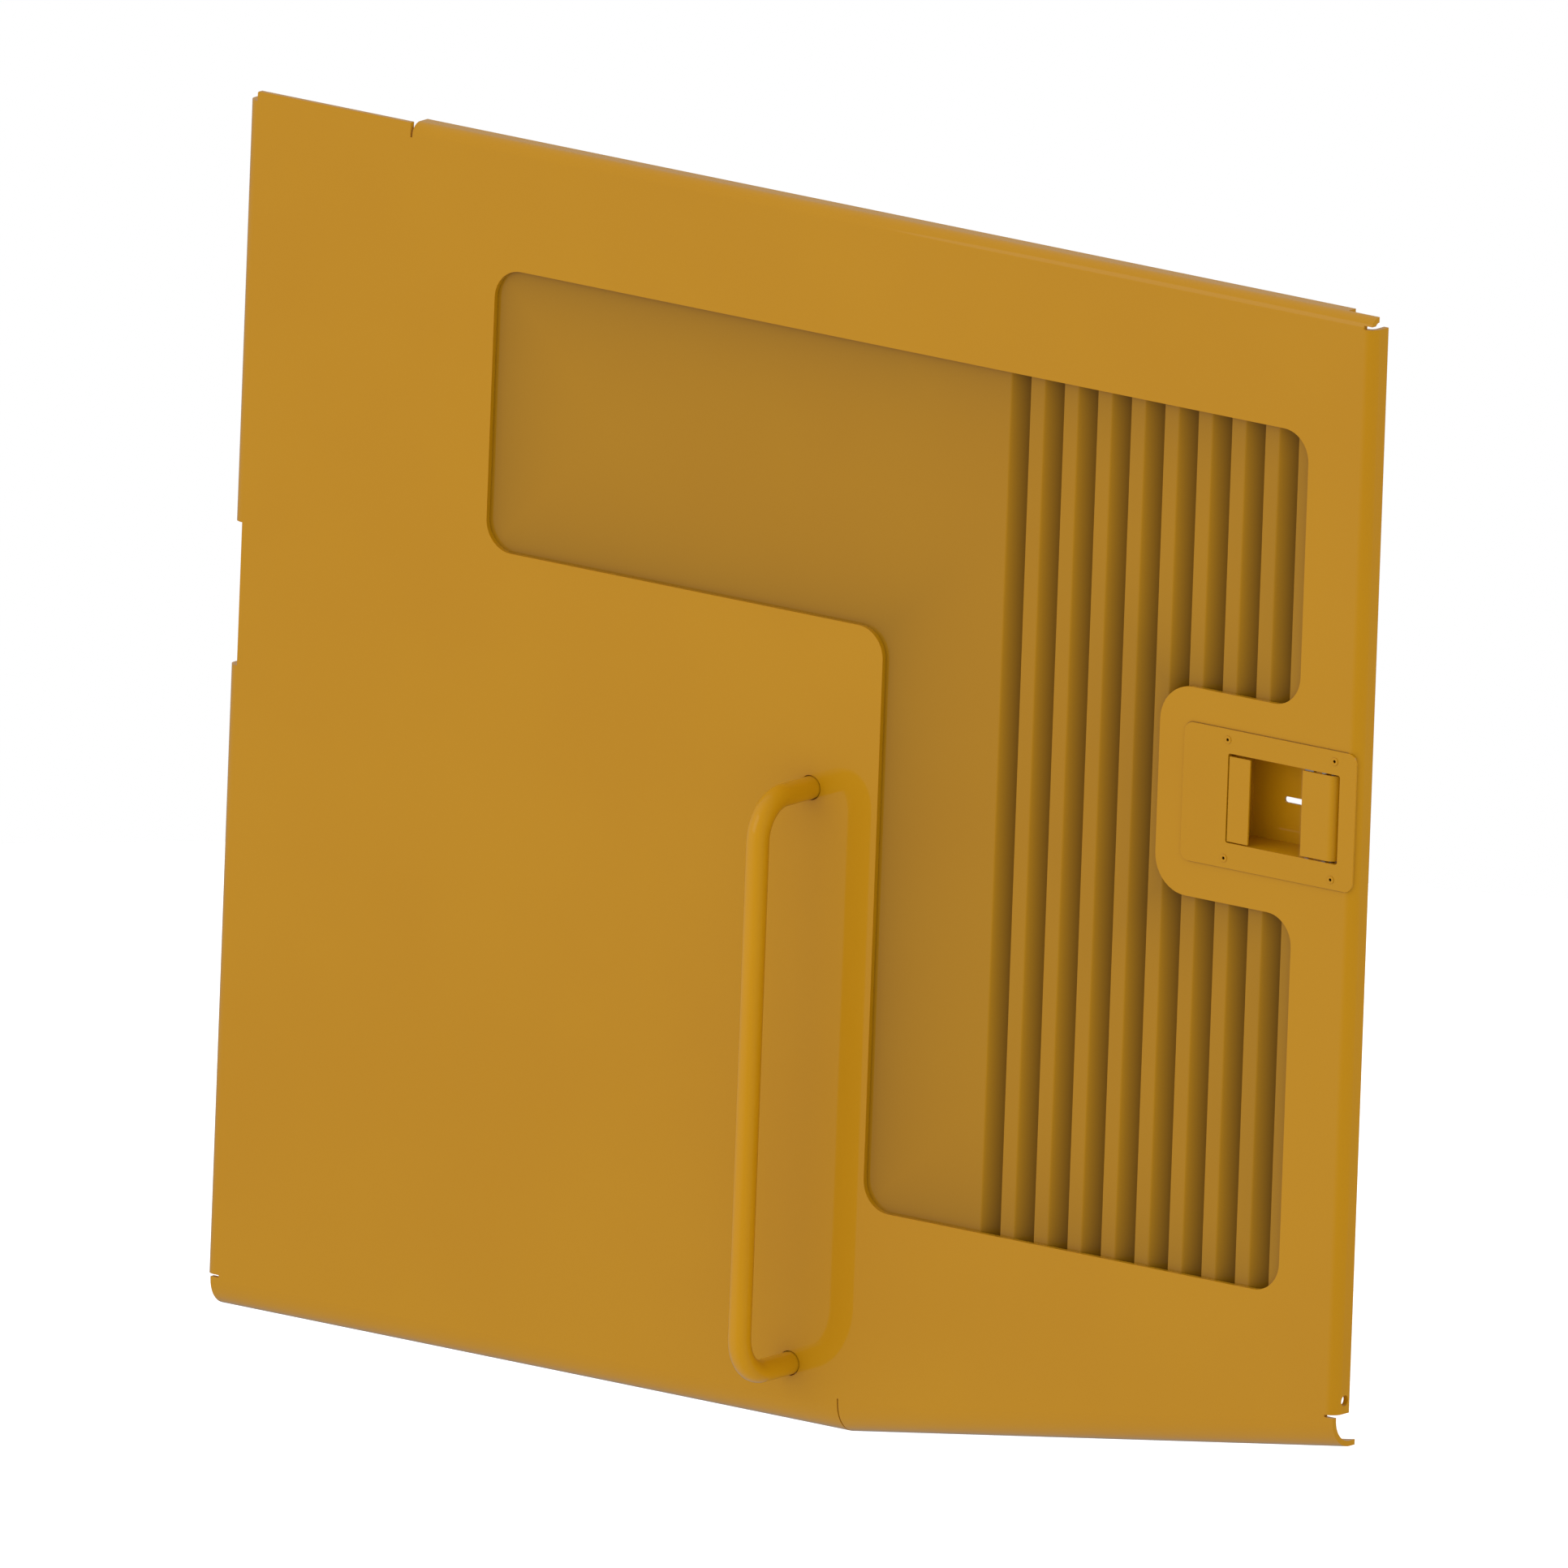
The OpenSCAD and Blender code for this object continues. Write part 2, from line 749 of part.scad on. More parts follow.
module lower_door_leaf() {
    color(paint) in_frame() door_leaf(hinge_z_low);
}

module leaf_bolts() {
    color(zinc) in_frame() for (h = [hinge_z_low, hinge_z_high], x = leaf_bolt_x, s = [-1, 1]) {
        rod_y(x, h + s * leaf_bolt_off, leaf_bolt_d, crest_y - 12, crest_y + leaf_t + eps);
        translate([x, crest_y + leaf_t, h + s * leaf_bolt_off]) rotate([-90, 0, 0]) hex_prism(13, 5.3);
    }
}

module leaf_nuts() {
    color(zinc) in_frame() for (h = [hinge_z_low, hinge_z_high], x = leaf_bolt_x, s = [-1, 1]) {
        difference() {
            translate([x, crest_y - hat_t - 6.5, h + s * leaf_bolt_off])
                rotate([-90, 0, 0]) hex_prism(13, 6.5);
            rod_y(x, h + s * leaf_bolt_off, leaf_bolt_d, crest_y - hat_t - 8, crest_y);
        }
    }
}

module frame_leaf(h) {
    difference() {
        union() {
            translate([axis_x, axis_y, h - knuckle_mid / 2]) cylinder(h = knuckle_mid, r = knuckle_r);
            translate([origin_x, axis_y, h - knuckle_mid / 2])
                cube([leaf_t, frame_y0 - axis_y + 5, knuckle_mid]);
            translate([origin_x, 0, 0]) rotate([90, 0, 90]) linear_extrude(leaf_t)
                round_box2(frame_y0, h - hinge_h / 2, frame_y1, h + hinge_h / 2, 8);
        }
        translate([axis_x, axis_y, h - hinge_h / 2]) cylinder(h = hinge_h, d = hinge_pin_d);
        for (y = frame_hole_y, s = [-1, 1]) {
            translate([origin_x - 1, y, h + s * leaf_bolt_off]) rotate([0, 90, 0])
                cylinder(h = leaf_t + 2, d = frame_hole_d);
        }
    }
}

module upper_frame_leaf() {
    color(paint) in_frame() frame_leaf(hinge_z_high);
}

module lower_frame_leaf() {
    color(paint) in_frame() frame_leaf(hinge_z_low);
}

module hinge_pin(h) {
    translate([axis_x, axis_y, h - hinge_h / 2 - 6]) cylinder(h = hinge_h + 6.4, d = hinge_pin_d);
    translate([axis_x, axis_y, h + hinge_h / 2 + 0.4]) cylinder(h = 4, d = 16);
}

module upper_hinge_pin() {
    color(zinc) in_frame() hinge_pin(hinge_z_high);
}

module lower_hinge_pin() {
    color(zinc) in_frame() hinge_pin(hinge_z_low);
}

module thrust_washers() {
    slack = (knuckle_gap - washer_t) / 2;
    color(zinc) in_frame() for (h = [hinge_z_low, hinge_z_high]) {
        for (z = [h - knuckle_mid / 2 - knuckle_gap + slack, h + knuckle_mid / 2 + slack]) {
            translate([axis_x, axis_y, z]) difference() {
                cylinder(h = washer_t, d = 17);
                translate([0, 0, -1]) cylinder(h = washer_t + 2, d = hinge_pin_d);
            }
        }
    }
}

module pin_rings() {
    color(zinc) in_frame() for (h = [hinge_z_low, hinge_z_high]) {
        translate([axis_x, axis_y, h - hinge_h / 2 - 3]) difference() {
            cylinder(h = 1.6, d = 16);
            translate([0, 0, -1]) cylinder(h = 4, d = hinge_pin_d);
        }
    }
}

door_skin();
louver_panel();
hinge_stiffener();
handle_stiffener();
door_bumpers();
grab_handle();
handle_washers();
handle_nuts();
latch_bezel();
latch_rivets();
latch_pan();
latch_cover();
latch_paddle();
paddle_lever();
paddle_pin();
paddle_spring();
latch_bracket_upper();
latch_bracket_lower();
bracket_screws();
bracket_nuts();
latch_hook();
hook_pin();
hook_spring();
upper_door_leaf();
lower_door_leaf();
leaf_bolts();
leaf_nuts();
upper_frame_leaf();
lower_frame_leaf();
upper_hinge_pin();
lower_hinge_pin();
thrust_washers();
pin_rings();
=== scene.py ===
"""Looks for a louvred yellow access door: camera, light, finishes, soft edges and fine pieces.

Lengths are in metres. The door's own coordinates run from the low corner of its skin: x from
the hinge side, y into the machine from the front face, z up.
"""

import math

import bpy
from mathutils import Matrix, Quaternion, Vector


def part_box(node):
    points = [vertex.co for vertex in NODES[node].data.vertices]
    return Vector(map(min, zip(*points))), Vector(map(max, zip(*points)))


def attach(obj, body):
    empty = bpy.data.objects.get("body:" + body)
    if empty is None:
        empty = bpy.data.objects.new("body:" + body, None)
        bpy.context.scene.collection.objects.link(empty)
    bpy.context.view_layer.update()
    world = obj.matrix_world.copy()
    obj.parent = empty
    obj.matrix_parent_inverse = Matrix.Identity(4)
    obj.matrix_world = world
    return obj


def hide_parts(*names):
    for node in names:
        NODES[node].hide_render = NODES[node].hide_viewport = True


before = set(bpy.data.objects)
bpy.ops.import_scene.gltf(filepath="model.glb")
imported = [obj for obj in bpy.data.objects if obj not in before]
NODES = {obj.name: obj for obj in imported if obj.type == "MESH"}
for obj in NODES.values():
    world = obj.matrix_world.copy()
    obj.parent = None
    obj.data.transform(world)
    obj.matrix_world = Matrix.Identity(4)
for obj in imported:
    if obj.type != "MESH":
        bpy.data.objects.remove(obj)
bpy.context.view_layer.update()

MM = 0.001
SKIN_LO, SKIN_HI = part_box("door_skin")

# the camera of the photograph: orthographic, slightly rolled
VIEW_AZIMUTH = math.radians(35.8)
VIEW_ELEVATION = math.radians(13.35)
VIEW_ROLL = math.radians(2.1)
VIEW_SPAN = 1.2558
VIEW_CENTRE = Vector((0.5542, 0.0, 0.5236))
VIEW_DISTANCE = 6.0
# the door hangs clear of the floor, a wide disc
FLOOR_DROP = 0.15
FLOOR_RADIUS = 2.6
FLOOR_SIDES = 96
# each soft light: its name, direction from the door, distance, size and power
LIGHTS = (
    ("key_light", (-0.25, -0.85, 0.45), 3.6, 2.2, 8.0),
    ("back_light", (0.3, 0.9, 0.35), 3.4, 2.4, 12.0),
)
# the directions, as X of a unit vector, between which the surround's reflection fades
FADE_FROM = -0.55
FADE_TO = 0.45


# ---------- camera, light and floor ----------

def add_camera():
    data = bpy.data.cameras.new("photo_camera")
    data.type = "ORTHO"
    data.ortho_scale = VIEW_SPAN
    data.clip_start, data.clip_end = 0.05, 60.0
    cam = bpy.data.objects.new("photo_camera", data)
    bpy.context.scene.collection.objects.link(cam)
    back = Vector((math.sin(VIEW_AZIMUTH) * math.cos(VIEW_ELEVATION),
                   -math.cos(VIEW_AZIMUTH) * math.cos(VIEW_ELEVATION),
                   math.sin(VIEW_ELEVATION)))
    cam.rotation_mode = "QUATERNION"
    cam.rotation_quaternion = back.to_track_quat("Z", "Y") @ Quaternion((0, 0, 1), VIEW_ROLL)
    cam.location = SKIN_LO + VIEW_CENTRE + back * VIEW_DISTANCE
    bpy.context.scene.camera = cam


def add_area(name, direction, distance, size, power, target):
    """A square soft light, facing the target from that direction."""
    data = bpy.data.lights.new(name, "AREA")
    data.shape = "SQUARE"
    data.size = size
    data.energy = power
    light = bpy.data.objects.new(name, data)
    bpy.context.scene.collection.objects.link(light)
    away = Vector(direction).normalized()
    light.rotation_mode = "QUATERNION"
    light.rotation_quaternion = away.to_track_quat("Z", "Y")
    light.location = target + away * distance


def add_world(even, left, right, seen):
    """An even soft light; reflections are paler to the left than to the right; white to the camera."""
    world = bpy.data.worlds.new("studio")
    bpy.context.scene.world = world
    world.use_nodes = True
    tree = world.node_tree
    tree.nodes.clear()
    add, link = tree.nodes.new, tree.links.new
    out, path = add("ShaderNodeOutputWorld"), add("ShaderNodeLightPath")
    sheen_mix, seen_mix = add("ShaderNodeMixShader"), add("ShaderNodeMixShader")
    soft, surround, white = (add("ShaderNodeBackground") for _ in range(3))
    soft.inputs["Color"].default_value = (even, even, even, 1.0)
    white.inputs["Color"].default_value = (seen, seen, seen, 1.0)
    direction, split = add("ShaderNodeTexCoord"), add("ShaderNodeSeparateXYZ")
    fade = add("ShaderNodeMapRange")
    fade.interpolation_type = "SMOOTHSTEP"
    for socket, value in zip(fade.inputs[1:5], (FADE_FROM, FADE_TO, left, right)):
        socket.default_value = value
    link(direction.outputs["Generated"], split.inputs[0])
    link(split.outputs["X"], fade.inputs["Value"])
    link(fade.outputs["Result"], surround.inputs["Strength"])
    link(path.outputs["Is Glossy Ray"], sheen_mix.inputs["Fac"])
    link(soft.outputs["Background"], sheen_mix.inputs[1])
    link(surround.outputs["Background"], sheen_mix.inputs[2])
    link(path.outputs["Is Camera Ray"], seen_mix.inputs["Fac"])
    link(sheen_mix.outputs["Shader"], seen_mix.inputs[1])
    link(white.outputs["Background"], seen_mix.inputs[2])
    link(seen_mix.outputs["Shader"], out.inputs["Surface"])


def add_stage():
    centre = (SKIN_LO + SKIN_HI) / 2
    add_world(even=1.0, left=0.44, right=0.10, seen=1.0)
    for name, direction, distance, size, power in LIGHTS:
        add_area(name, direction, distance, size, power, centre)
    floor_mesh = bpy.data.meshes.new("floor")
    turns = [2 * math.pi * i / FLOOR_SIDES for i in range(FLOOR_SIDES)]
    rim = [(FLOOR_RADIUS * math.cos(a), FLOOR_RADIUS * math.sin(a), 0) for a in turns]
    floor_mesh.from_pydata(rim, [], [range(FLOOR_SIDES)])
    floor = bpy.data.objects.new("floor", floor_mesh)
    bpy.context.scene.collection.objects.link(floor)
    floor.location = (centre.x, centre.y, SKIN_LO.z - FLOOR_DROP)
    floor.visible_glossy = False
    floor.visible_diffuse = False
    floor_mesh.materials.append(floor_finish())
    view = bpy.context.scene.view_settings
    view.view_transform = "Standard"
    view.look = "None"
    view.exposure = 0.0
    view.gamma = 1.0


# ---------- materials ----------

class Finish:
    """One material's node tree, with short calls that add a node and join it up."""

    def __init__(self, name):
        self.material = bpy.data.materials.new(name)
        self.material.use_nodes = True
        self.tree = self.material.node_tree
        self.tree.nodes.clear()
        self.out = self.tree.nodes.new("ShaderNodeOutputMaterial")
        self.shader = self.tree.nodes.new("ShaderNodeBsdfPrincipled")
        self.tree.links.new(self.shader.outputs["BSDF"], self.out.inputs["Surface"])
        self.place = self.tree.nodes.new("ShaderNodeTexCoord").outputs["Object"]

    def axes(self):
        """The object's own X, Y and Z at each point."""
        split = self.tree.nodes.new("ShaderNodeSeparateXYZ")
        self.tree.links.new(self.place, split.inputs[0])
        return split.outputs["X"], split.outputs["Y"], split.outputs["Z"]

    def join(self, value, socket):
        """Sets a socket to a number or a colour, or links an output to it."""
        if isinstance(value, bpy.types.NodeSocket):
            self.tree.links.new(value, socket)
        else:
            socket.default_value = value

    def maths(self, operation, a, b=0.0, c=0.0):
        node = self.tree.nodes.new("ShaderNodeMath")
        node.operation = operation
        for value, socket in zip((a, b, c), node.inputs):
            self.join(value, socket)
        return node.outputs[0]

    def span(self, value, low, high, to_low, to_high):
        """value from low..high, carried smoothly to to_low..to_high and kept inside."""
        node = self.tree.nodes.new("ShaderNodeMapRange")
        node.interpolation_type = "SMOOTHSTEP"
        for socket, v in zip(node.inputs, (value, low, high, to_low, to_high)):
            self.join(v, socket)
        return node.outputs["Result"]

    def noise(self, scale, detail=2.0, stretch=(1.0, 1.0, 1.0), rough=0.5):
        stretcher = self.tree.nodes.new("ShaderNodeMapping")
        stretcher.inputs["Scale"].default_value = stretch
        self.tree.links.new(self.place, stretcher.inputs["Vector"])
        node = self.tree.nodes.new("ShaderNodeTexNoise")
        node.inputs["Scale"].default_value = scale
        node.inputs["Detail"].default_value = detail
        node.inputs["Roughness"].default_value = rough
        self.tree.links.new(stretcher.outputs["Vector"], node.inputs["Vector"])
        return node.outputs["Fac"]

    def blend(self, amount, a, b, kind="MIX"):
        node = self.tree.nodes.new("ShaderNodeMix")
        node.data_type = "RGBA"
        node.blend_type = kind
        self.join(amount, node.inputs["Factor"])
        self.join(a, node.inputs["A"])
        self.join(b, node.inputs["B"])
        return node.outputs["Result"]

    def edges(self, radius):
        """0 on open faces, rising to 1 along sharp edges."""
        bevel = self.tree.nodes.new("ShaderNodeBevel")
        bevel.samples = 6
        bevel.inputs["Radius"].default_value = radius
        geometry = self.tree.nodes.new("ShaderNodeNewGeometry")
        dot = self.tree.nodes.new("ShaderNodeVectorMath")
        dot.operation = "DOT_PRODUCT"
        self.tree.links.new(bevel.outputs["Normal"], dot.inputs[0])
        self.tree.links.new(geometry.outputs["Normal"], dot.inputs[1])
        return self.span(dot.outputs["Value"], 0.80, 0.99, 1.0, 0.0)

    def bump(self, height, distance, strength=1.0, under=None):
        node = self.tree.nodes.new("ShaderNodeBump")
        node.inputs["Strength"].default_value = strength
        node.inputs["Distance"].default_value = distance
        self.tree.links.new(height, node.inputs["Height"])
        if under is not None:
            self.tree.links.new(under, node.inputs["Normal"])
        return node.outputs["Normal"]

    def round_edges(self, radius):
        node = self.tree.nodes.new("ShaderNodeBevel")
        node.samples = 6
        node.inputs["Radius"].default_value = radius
        return node.outputs["Normal"]

    def set(self, **sockets):
        for name, value in sockets.items():
            self.join(value, self.shader.inputs[name.replace("_", " ")])


def rgba(r, g, b):
    return (r, g, b, 1.0)


def inside(finish, x, z, x0, x1, z0, z1):
    """How far a point is inside a rectangle of the door, negative outside it."""
    left = finish.maths("SUBTRACT", x, SKIN_LO.x + x0)
    right = finish.maths("SUBTRACT", SKIN_LO.x + x1, x)
    low = finish.maths("SUBTRACT", z, SKIN_LO.z + z0)
    high = finish.maths("SUBTRACT", SKIN_LO.z + z1, z)
    return finish.maths("MINIMUM", finish.maths("MINIMUM", left, right),
                        finish.maths("MINIMUM", low, high))


SKIN_THICKNESS = 4.5 * MM
# painted shade that deepens behind the door's face, in the louvre troughs and the rivet bores: start, end,
# power and amount
LOUVRE_SHADE = (SKIN_THICKNESS + 0.1 * MM, SKIN_THICKNESS + 17.0 * MM, 0.30, 0.62)
RIVET_SHADE = (-1.6 * MM, -0.6 * MM, 0.8, 0.96)
# painted shade on the sunk sheet near the window's edge: how its two branches blend, and the length over
# which it halves
EDGE_SHADE_BLEND = 20.0 * MM
EDGE_SHADE_HALVING = 24.0 * MM
# the window's two branches and the latch tongue on the door, as x0, x1, z0, z1
UPPER_BRANCH = (0.251, 1.060, 0.666, 0.898)
LOWER_BRANCH = (0.647, 1.060, 0.189, 0.898)
LATCH_TONGUE = (0.923, 1.200, 0.4995, 0.6713)


def window_edge_shade(finish):
    """Painted shade along the window's edge: 1 close to the edge, halving with every step of its halving
    length into the open sheet.
    """
    x, _, z = finish.axes()
    branches = finish.maths("SMOOTH_MAX", inside(finish, x, z, *UPPER_BRANCH),
                            inside(finish, x, z, *LOWER_BRANCH), EDGE_SHADE_BLEND)
    clear = finish.maths("MULTIPLY", inside(finish, x, z, *LATCH_TONGUE), -1.0)
    depth = finish.maths("MAXIMUM", finish.maths("MINIMUM", branches, clear), 0.0)
    return finish.maths("POWER", 0.5, finish.maths("DIVIDE", depth, EDGE_SHADE_HALVING))


def depth_behind(finish, start, end):
    """0 in front of the depth start behind the door's face, rising to 1 at the depth end."""
    _, y, _ = finish.axes()
    return finish.span(y, SKIN_LO.y + start, SKIN_LO.y + end, 0.0, 1.0)


PAINT = (0.530, 0.248, 0.0022)
PAINT_DEEP = (0.500, 0.222, 0.0015)
# the colour of edge wear, lightened as a painted highlight along the edges
PAINT_WEAR_AND_HIGHLIGHT = (0.640, 0.262, 0.0020)
# the colour of painted shade on the sunk sheet near the window's edge
EDGE_SHADE = (0.06, 0.034, 0.004)
# the colour of painted shade in the louvre troughs and rivet bores
DEEP_SHADE = (0.035, 0.014, 0.0005)
# painted shade: the colours of the dark strip round the bezel's edge
BEZEL_SHADOW_TONE = (0.30, 0.135, 0.003)
BEZEL_SHADOW_DEEP = (0.22, 0.095, 0.003)
# the sunk sheet is a little darker than the skin; the bar and the latch recess get painted light, a little
# brighter than the skin
SHEET_TONE = 0.83
BAR_PAINTED_LIGHT = 1.16


def toned(colour, factor):
    return tuple(c * factor for c in colour)


def enamel(name, colour, deep, edge_wear_and_highlight, sheet=False, dark=None):
    """Glossy machine enamel: faint cloudiness, orange peel, rounded and slightly thin edges, their wear
    colour lightened as a painted highlight.

    sheet adds painted shade along the window's edge on the sunk louvred sheet; dark is (start, end, power,
    amount): painted shade that deepens the paint with the distance behind the door's face.
    """
    f = Finish(name)
    cloud = f.noise(5.0, 3.0)
    base = f.blend(f.span(cloud, 0.3, 0.7, 0.0, 0.35), rgba(*colour), rgba(*deep))
    speck = f.noise(900.0, 1.0)
    base = f.blend(f.span(speck, 0.66, 0.74, 0.0, 0.10), base, rgba(*toned(colour, 0.55)))
    # edge wear, whose colour also serves as a painted highlight along the edges
    wear_and_highlight = f.maths("MULTIPLY", f.edges(0.9 * MM), f.span(f.noise(60.0, 4.0), 0.35, 0.65, 0.35, 1.0))
    base = f.blend(wear_and_highlight, base, rgba(*edge_wear_and_highlight))
    if sheet:
        # painted shade near the window's edge darkens the sunk sheet
        shade = f.maths("MULTIPLY", window_edge_shade(f), 0.26)
        base = f.blend(shade, base, rgba(*EDGE_SHADE))
    # painted shade that darkens the paint with depth behind the door's face
    if dark:
        start, end, power, amount = dark
        shade = f.maths("MULTIPLY", f.maths("POWER", depth_behind(f, start, end), power), amount)
        base = f.blend(shade, base, rgba(*DEEP_SHADE))
    peel = f.noise(260.0, 1.5)
    grain = f.noise(2200.0, 1.0)
    normal = f.bump(grain, 0.01 * MM, 0.25, f.bump(peel, 0.05 * MM, 0.30, f.round_edges(0.5 * MM)))
    f.set(Base_Color=base, Metallic=0.0, Normal=normal,
          Roughness=f.span(f.noise(35.0, 3.0), 0.3, 0.7, 0.42, 0.56))
    f.set(Specular_IOR_Level=0.10, Coat_Weight=0.9, Coat_Roughness=0.035, Coat_IOR=1.5)
    return f.material


def zinc_finish(name):
    """Zinc-plated steel: clouded grey, a fine rolled grain, brighter rubbed edges."""
    f = Finish(name)
    cloud = f.noise(90.0, 4.0)
    base = f.blend(cloud, rgba(0.50, 0.50, 0.49), rgba(0.66, 0.66, 0.64))
    base = f.blend(f.edges(0.4 * MM), base, rgba(0.80, 0.80, 0.79))
    grain = f.noise(700.0, 2.0, stretch=(1.0, 1.0, 0.12))
    f.set(Base_Color=base, Metallic=0.92, Normal=f.bump(grain, 0.02 * MM, 0.4, f.round_edges(0.35 * MM)),
          Roughness=f.span(cloud, 0.3, 0.7, 0.30, 0.46))
    return f.material


def spring_finish(name):
    """Oiled spring steel: dark, with fine drawing lines."""
    f = Finish(name)
    cloud = f.noise(400.0, 3.0)
    base = f.blend(cloud, rgba(0.10, 0.10, 0.105), rgba(0.20, 0.20, 0.20))
    lines = f.noise(1500.0, 2.0, stretch=(1.0, 1.0, 0.3))
    f.set(Base_Color=base, Metallic=0.9, Normal=f.bump(lines, 0.01 * MM, 0.5),
          Roughness=f.span(cloud, 0.3, 0.7, 0.25, 0.40))
    return f.material


def rubber_finish(name):
    """Black rubber: matt, a little dusty, with a fine moulded texture."""
    f = Finish(name)
    dust = f.noise(70.0, 4.0)
    base = f.blend(f.span(dust, 0.45, 0.75, 0.0, 0.5), rgba(0.014, 0.014, 0.015), rgba(0.06, 0.058, 0.055))
    base = f.blend(f.edges(0.8 * MM), base, rgba(0.05, 0.05, 0.05))
    f.set(Base_Color=base, Normal=f.bump(f.noise(1600.0, 2.0), 0.05 * MM, 0.5, f.round_edges(0.8 * MM)),
          Roughness=f.span(dust, 0.3, 0.7, 0.62, 0.80))
    return f.material


def floor_finish():
    """A plain pale floor with the faintest mottling."""
    f = Finish("floor_finish")
    f.set(Base_Color=f.blend(f.noise(1.3, 2.0), rgba(0.90, 0.90, 0.90), rgba(0.92, 0.92, 0.92)),
          Roughness=0.9, Specular_IOR_Level=0.1)
    f.set(Emission_Color=rgba(1.0, 1.0, 1.0), Emission_Strength=0.34)
    return f.material


# ---------- soft edges on the CAD pieces ----------

def smoothing_group(crease):
    """Geometry nodes that close the seams between CAD faces and smooth over angles below crease."""
    group = bpy.data.node_groups.new("smooth_below_crease", "GeometryNodeTree")
    group.interface.new_socket("Geometry", in_out="INPUT", socket_type="NodeSocketGeometry")
    group.interface.new_socket("Geometry", in_out="OUTPUT", socket_type="NodeSocketGeometry")
    add, link = group.nodes.new, group.links.new
    start, end = add("NodeGroupInput"), add("NodeGroupOutput")
    weld = add("GeometryNodeMergeByDistance")
    weld.inputs["Distance"].default_value = 2e-6
    faces = add("GeometryNodeSetShadeSmooth")
    faces.domain = "FACE"
    creases = add("GeometryNodeSetShadeSmooth")
    creases.domain = "EDGE"
    creases.inputs["Shade Smooth"].default_value = False
    angle = add("GeometryNodeInputMeshEdgeAngle")
    sharp = add("FunctionNodeCompare")
    sharp.data_type = "FLOAT"
    sharp.operation = "GREATER_THAN"
    sharp.inputs["B"].default_value = crease
    link(start.outputs[0], weld.inputs["Geometry"])
    link(weld.outputs[0], faces.inputs["Geometry"])
    link(faces.outputs[0], creases.inputs["Geometry"])
    link(angle.outputs["Unsigned Angle"], sharp.inputs["A"])
    link(sharp.outputs["Result"], creases.inputs["Selection"])
    link(creases.outputs[0], end.inputs[0])
    return group


def smooth(obj, group):
    """Smooth shading that keeps the flats flat and the creases sharp."""
    if obj.data.has_custom_normals:
        with bpy.context.temp_override(object=obj, active_object=obj, selected_objects=[obj]):
            bpy.ops.mesh.customdata_custom_splitnormals_clear()
    modifier = obj.modifiers.new("smooth", "NODES")
    modifier.node_group = group


def soften(obj, width, segments=2):
    """A real rounded edge: flat faces joined up, then every crease bevelled."""
    flat = obj.modifiers.new("flats", "DECIMATE")
    flat.decimate_type = "DISSOLVE"
    flat.angle_limit = math.radians(0.4)
    bevel = obj.modifiers.new("soft_edges", "BEVEL")
    bevel.width = width
    bevel.segments = segments
    bevel.limit_method = "ANGLE"
    bevel.angle_limit = math.radians(40.0)
    bevel.miter_outer = "MITER_ARC"


def weigh(obj):
    even = obj.modifiers.new("even_normals", "WEIGHTED_NORMAL")
    even.keep_sharp = True
    even.weight = 60


# ---------- springs ----------

STEPS_PER_TURN = 40
# each fine spring: the node it stands for, its wire in millimetres, turns and leg length
SPRINGS = (
    ("paddle_spring", 1.0, 6.0, 4.0),
    ("hook_spring", 1.4, 4.0, 6.0),
)


def coil_points(centre, radius, z0, z1, turns, leg):
    """Points of a torsion spring about an upright axis, with a straight leg at each end."""
    count = int(turns * STEPS_PER_TURN)
    helix = []
    for i in range(count + 1):
        a = 2 * math.pi * turns * i / count
        helix.append(Vector((centre.x + radius * math.cos(a), centre.y + radius * math.sin(a),
                             z0 + (z1 - z0) * i / count)))
    first = helix[0] - Vector((0.0, leg, 0.0))
    last = helix[-1] + Vector((0.0, leg, 0.0))
    return [first, *helix, last]


def wire_mesh(name, points, diameter, sides=12):
    """A round wire swept along the points, with closed ends."""
    verts, faces = [], []
    side = Vector((0, 0, 1))
    for i, p in enumerate(points):
        ahead = points[min(i + 1, len(points) - 1)] - points[max(i - 1, 0)]
        ahead.normalize()
        across = side.cross(ahead).normalized()
        up = ahead.cross(across)
        for k in range(sides):
            a = 2 * math.pi * k / sides
            verts.append(p + (across * math.cos(a) + up * math.sin(a)) * diameter / 2)
    for i in range(len(points) - 1):
        for k in range(sides):
            a, b = i * sides + k, i * sides + (k + 1) % sides
            faces.append((a, b, b + sides, a + sides))
    faces.append(tuple(reversed(range(sides))))
    faces.append(tuple(range(len(verts) - sides, len(verts))))
    mesh = bpy.data.meshes.new(name)
    mesh.from_pydata([tuple(v) for v in verts], [], faces)
    for polygon in mesh.polygons:
        polygon.use_smooth = len(polygon.vertices) == 4
    obj = bpy.data.objects.new(name, mesh)
    bpy.context.scene.collection.objects.link(obj)
    return obj


def add_spring(node, diameter, turns, leg):
    """A fine spring in the place of a CAD one, wound on the same axis."""
    lo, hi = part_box(node)
    centre = (lo + hi) / 2
    radius = min(hi.x - lo.x, hi.y - lo.y) / 2 - diameter / 2
    points = coil_points(centre, radius, lo.z + diameter / 2, hi.z - diameter / 2, turns, leg)
    spring = wire_mesh(node + "_wire", points, diameter)
    spring.data.materials.append(FINISHES["spring_steel"])
    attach(spring, "door")
    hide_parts(node)


# ---------- the painted shadow line round the bezel ---

BEZEL_CORNER = 8.5 * MM
SKIN_BEND = 10.0 * MM


def bezel_outline(x_end, x0, z0, z1, radius, steps=8):
    """The bezel's outline from its upper right, round its left side, to its lower right."""
    line = [(x_end, z1)]
    for start, z in ((math.pi / 2, z1 - radius), (math.pi, z0 + radius)):
        for i in range(steps + 1):
            a = start + math.pi / 2 * i / steps
            line.append((x0 + radius + radius * math.cos(a), z + radius * math.sin(a)))
    return [*line, (x_end, z0)]


